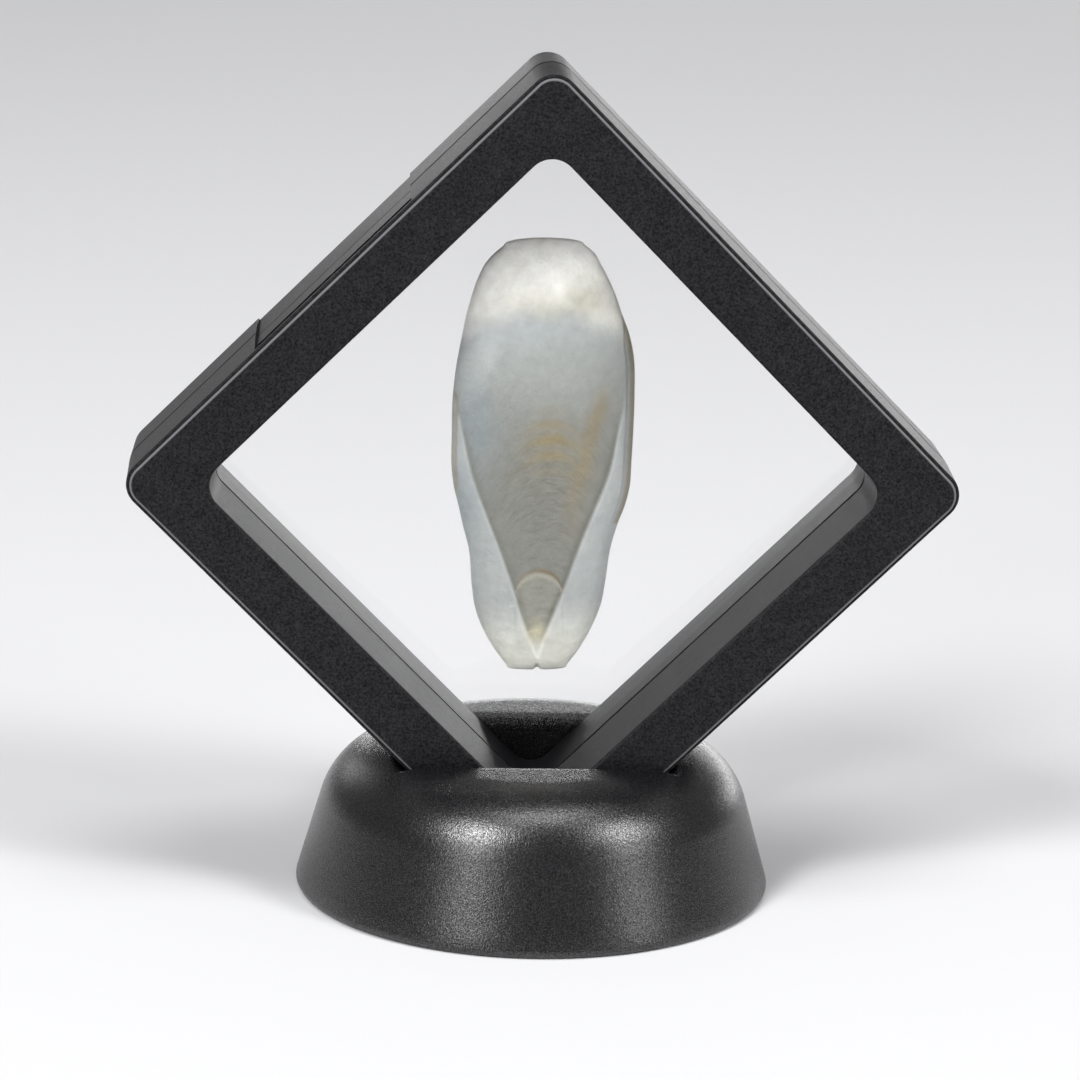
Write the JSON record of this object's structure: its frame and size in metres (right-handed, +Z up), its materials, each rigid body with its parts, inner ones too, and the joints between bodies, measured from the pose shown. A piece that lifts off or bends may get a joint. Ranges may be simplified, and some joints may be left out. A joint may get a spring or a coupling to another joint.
{
  "type": "floating display frame",
  "caption": "Square hinged case with clear films that hold a flat specimen in its window, standing on its corner in the slot of a round hollow stand.",
  "frame": {"origin": "on the table under the middle of the stand", "axes": "+Z up, +Y from the front of the case to its rear, +X to the right seen from the front"},
  "size_m": [0.0968, 0.0566, 0.0991],
  "materials": {
    "stand": "black moulded ABS with a fine spark texture",
    "front_frame": "black moulded ABS with a fine spark texture",
    "rear_frame": "black moulded ABS with a fine spark texture",
    "hinge_pin": "drawn steel wire",
    "front_film_ring": "black moulded ABS",
    "rear_film_ring": "black moulded ABS",
    "front_film": "clear stretched polyurethane film",
    "rear_film": "clear stretched polyurethane film",
    "specimen": "dry chalky cuttlebone"
  },
  "bodies": {
    "stand": {"stand": "stand"},
    "rear_half": {"rear_frame": "rear_frame", "rear_film": "rear_film", "rear_film_ring": "rear_film_ring", "hinge_pin": "hinge_pin", "specimen": "specimen"},
    "front_half": {"front_frame": "front_frame", "front_film": "front_film", "front_film_ring": "front_film_ring"}
  },
  "joints": [
    {"name": "frame_lift", "type": "slide", "parent": "stand", "child": "rear_half", "axis": [0, 0, 1], "range_m": [0, 0.2]},
    {"name": "case_hinge", "type": "hinge", "parent": "rear_half", "child": "front_half", "pos_m": [0.02539, 0, 0.02535], "axis": [0.7071, 0, 0.7071], "range_deg": [0, 100]}
  ],
  "couplings": [
    {"joint": "case_hinge", "follows": "frame_lift", "rad_per_m": 8.7266}
  ]
}
